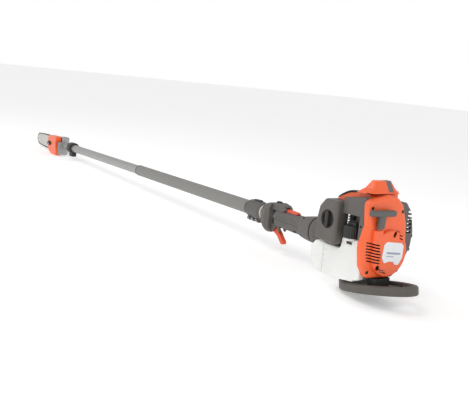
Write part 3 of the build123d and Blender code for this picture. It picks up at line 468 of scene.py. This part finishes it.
def rope():
    """Three yarns laid round each other, from the pulley into the grip."""
    pull = PLACE @ Matrix.Translation(ROPE_EXIT) @ Matrix.Rotation(ROPE_LEAN, 4, "Y")
    bm = bmesh.new()
    for strand in range(YARNS):
        line = []
        for k in range(YARN_STEPS + 1):
            z = ROPE_FOOT + ROPE_LONG * k / YARN_STEPS
            a = 2 * math.pi * (strand / YARNS + z / LAY)
            line.append((ROPE_X + YARN_OFFSET * math.cos(a), YARN_OFFSET * math.sin(a), z))
        sweep(bm, line, [YARN_R] * len(line), 8)
    piece = make("rope_yarns", bm, "rope", None, pull, replaces="starter_rope")
    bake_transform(piece)


TRIM_Y = -41.8
TRIM_LINE = [(-150, 110.5), (-131, 121.5), (-110, 130.4), (-84, 135.0), (-70, 137.4)]  # (x, z) along the roof
TRIM_END_R, TRIM_SWELL = 0.9, 1.7


def trim():
    """Black rubber lip along the left edge of the cylinder cover's roof."""
    bm = bmesh.new()
    line = eased([(x, TRIM_Y, z) for x, z in TRIM_LINE])
    last = len(line) - 1
    radii = [TRIM_END_R + TRIM_SWELL * math.sin(math.pi * k / last) ** 0.5 for k in range(len(line))]
    sweep(bm, line, radii, 10, 1.15)
    make("cover_trim", bm, "rubber", "powerhead")


SEAM_X, SEAM_Y, SEAM_R = -158, -66.1, 0.9
MARK_Y, MARK_R = -66.0, 0.7
MARK_LEVELS = (-64, -50, -36, -22)
LONG_MARK, SHORT_MARK = 14, 9


def tank_lines():
    """Moulded seam and level marks on the tank's left face."""
    bm = bmesh.new()
    seam = [(SEAM_X, SEAM_Y, z) for z in range(-80, -9, 5)]
    sweep(bm, seam, [SEAM_R] * len(seam), 8)
    for i, z in enumerate(MARK_LEVELS):
        reach = LONG_MARK if i % 2 else SHORT_MARK
        mark = [(SEAM_X + k * reach / 5, MARK_Y, z) for k in range(6)]
        sweep(bm, mark, [MARK_R] * len(mark), 8)
    make("tank_seam", bm, "tank", "powerhead")


STRIPES = [(-18, 24, 1.0, 2.3), (-18, 4, -7.0, 1.0)]  # (y of both ends, z, half width) of each stripe
STRIPE_X = (0.86, 1.05)
DECAL_CENTRE, DECAL_TURN = (0, 8, 0), math.radians(-6)


def decal_print():
    """Plain generic stripes on the decal."""
    bm = bmesh.new()
    for start, end, z, r in STRIPES:
        slab(bm, capsule(start, z, end, z, r), *STRIPE_X, axis=0)
    turn = Matrix.Translation(DECAL_CENTRE) @ Matrix.Rotation(DECAL_TURN, 4, "X")
    make("decal_stripes", bm, "print", "powerhead", PLACE @ turn)


# The dark oval plate below is painted shade: it fills the recess under the bar nuts.
PLATE_X, PLATE_R = (-2401.8, -2378.2), 11.9
PLATE_Y = (-46.9, -46.1)


def cover_plate():
    """Dark oval plate filling the recess under the bar nuts: painted shade of the recess."""
    bm = bmesh.new()
    slab(bm, capsule(PLATE_X[0], 0, PLATE_X[1], 0, PLATE_R, 14), *PLATE_Y)
    make("cover_plate", bm, "plate", "mast")


BANDS = [("sleeve_band_front", -1366.0), ("sleeve_band_rear", -578.0)]
BAND_BASE_R, BAND_SIDES = 20.6, 48
BAND_SECTION = [(-2.0, 0.0), (-1.6, 0.75), (1.6, 0.75), (2.0, 0.0)]  # (along the tube, outwards)


def sleeve_bands():
    """Raised bands near the ends of the grip sleeve."""
    turns = [2 * math.pi * k / BAND_SIDES for k in range(BAND_SIDES)]
    for name, x in BANDS:
        bm = bmesh.new()
        rows = []
        for dx, dr in BAND_SECTION:
            r = BAND_BASE_R + dr
            rows.append([bm.verts.new((x + dx, r * math.cos(a), r * math.sin(a))) for a in turns])
        rows.append(rows[0])
        for a, b in zip(rows, rows[1:]):
            for k in range(BAND_SIDES):
                m = (k + 1) % BAND_SIDES
                bm.faces.new((a[k], a[m], b[m], b[k]))
        make(name, bm, "rubber", "mast")


chain()
rope()
trim()
tank_lines()
decal_print()
cover_plate()
sleeve_bands()


# ---------------------------------------------------------------- stage, lights and camera
FLOOR_HALF, FLOOR_DROP = 30.0, 0.0005


def floor():
    """Plain white floor just under the part."""
    bm = bmesh.new()
    bmesh.ops.create_grid(bm, x_segments=8, y_segments=8, size=FLOOR_HALF)
    mesh = bpy.data.meshes.new("floor")
    bm.to_mesh(mesh)
    plane = bpy.data.objects.new("floor", mesh)
    bpy.context.scene.collection.objects.link(plane)
    plane.location.z = -FLOOR_DROP
    n = Nodes("floor_paint")
    white = (0.93, 0.93, 0.93, 1.0)
    n.to(Base_Color=n.ramp(n.noise(3.0, 2.0), [(0.3, shade(white, 0.995)), (0.7, white)]))
    n.set(Roughness=0.9, Specular_IOR_Level=0.1, Emission_Color=white, Emission_Strength=0.3)
    mesh.materials.append(n.material)


def softbox(name, at, target, size, power):
    """A rectangular area light at one place that faces another, in metres and watts."""
    data = bpy.data.lights.new(name, "AREA")
    data.shape = "RECTANGLE"
    data.size, data.size_y = size
    data.energy = power
    lamp = bpy.data.objects.new(name, data)
    bpy.context.scene.collection.objects.link(lamp)
    lamp.location = at
    lamp.rotation_euler = (Vector(target) - Vector(at)).to_track_quat("-Z", "Y").to_euler()


EYE = (1022, -1141, 334)
CAMERA_RIGHT = Vector((0.5455, 0.8337, 0.0864))
CAMERA_UP = Vector((-0.187, 0.0206, 0.9822))
LENS, SENSOR = 50.0, 36.0


def camera():
    """The camera stands behind the engine, on the machine's left, and looks along the mast."""
    data = bpy.data.cameras.new("camera")
    data.lens, data.sensor_width = LENS, SENSOR
    data.clip_start, data.clip_end = 0.02, 100.0
    eye = bpy.data.objects.new("camera", data)
    bpy.context.scene.collection.objects.link(eye)
    back = CAMERA_RIGHT.cross(CAMERA_UP)
    turn = Matrix((CAMERA_RIGHT, CAMERA_UP, back)).transposed()
    eye.matrix_world = Matrix.Translation(point(*EYE)) @ (PLACE.to_3x3().normalized() @ turn).to_4x4()
    bpy.context.scene.camera = eye


FADE_START, FADE_END = 0.3, 0.75  # how far up the sky its brightness changes
WHITE = (1.0, 1.0, 1.0, 1.0)


def world(horizon, overhead):
    """White studio sky with one strength round the horizon and another overhead."""
    sky = bpy.data.worlds.new("studio")
    sky.use_nodes = True
    tree = sky.node_tree
    direction = tree.nodes.new("ShaderNodeTexCoord")
    split = tree.nodes.new("ShaderNodeSeparateXYZ")
    fade = tree.nodes.new("ShaderNodeMapRange")
    fade.inputs["From Min"].default_value = FADE_START
    fade.inputs["From Max"].default_value = FADE_END
    fade.inputs["To Min"].default_value = horizon
    fade.inputs["To Max"].default_value = overhead
    tree.links.new(direction.outputs["Generated"], split.inputs["Vector"])
    tree.links.new(split.outputs["Z"], fade.inputs["Value"])
    tree.nodes["Background"].inputs["Color"].default_value = WHITE
    tree.links.new(fade.outputs["Result"], tree.nodes["Background"].inputs["Strength"])
    bpy.context.scene.world = sky


floor()
world(1.0, 0.5)
softbox("key", (1.6, -1.9, 2.4), (1.1, 0, 0.1), (1.2, 1.2), 16.0)
softbox("rear", (3.2, 0.6, 1.6), (1.3, 0, 0.1), (1.0, 1.0), 6.0)
softbox("far", (-0.8, -1.6, 2.4), (-0.6, 0, 0.05), (1.6, 1.6), 16.0)
camera()
bpy.context.scene.view_settings.view_transform = "Standard"
